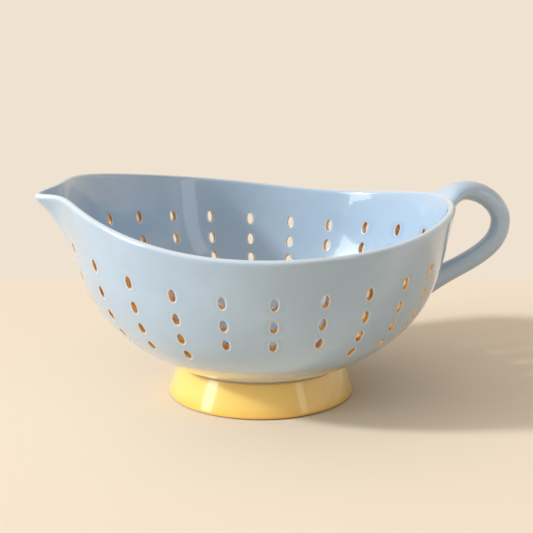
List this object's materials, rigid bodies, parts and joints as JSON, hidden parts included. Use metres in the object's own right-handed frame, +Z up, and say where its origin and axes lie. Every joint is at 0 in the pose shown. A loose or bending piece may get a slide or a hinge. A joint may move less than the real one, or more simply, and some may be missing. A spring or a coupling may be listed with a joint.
{
  "type": "pedestal colander",
  "caption": "Glazed ceramic colander: a wide perforated bowl with a saddle rim and pulled pouring spout, a loop handle and a flared ring foot, for rinsing, draining and pouring.",
  "frame": {"origin": "middle of the overall length and width, on the surface that the foot stands on", "axes": "+Z up; +X towards the handle, with the spout at -X; +Y across, with the pictured side at -Y. The foot's turning axis is at X = -14.1 mm"},
  "size_m": [0.3222, 0.249, 0.1447],
  "materials": {
    "blue_glaze": "glossy pale grey-blue glaze, breaking paler on edges and warm ochre inside the drain holes",
    "yellow_glaze": "glossy honey-yellow glaze with an unglazed ring under the foot",
    "slip": "thin line of slip under the blue glaze, a little darker than the bowl"
  },
  "bodies": {
    "root": {"bowl": "blue_glaze", "handle": "blue_glaze", "foot_ring": "yellow_glaze", "foot_slip_joint": "slip", "handle_upper_slip_joint": "slip", "handle_lower_slip_joint": "slip"}
  },
  "joints": []
}
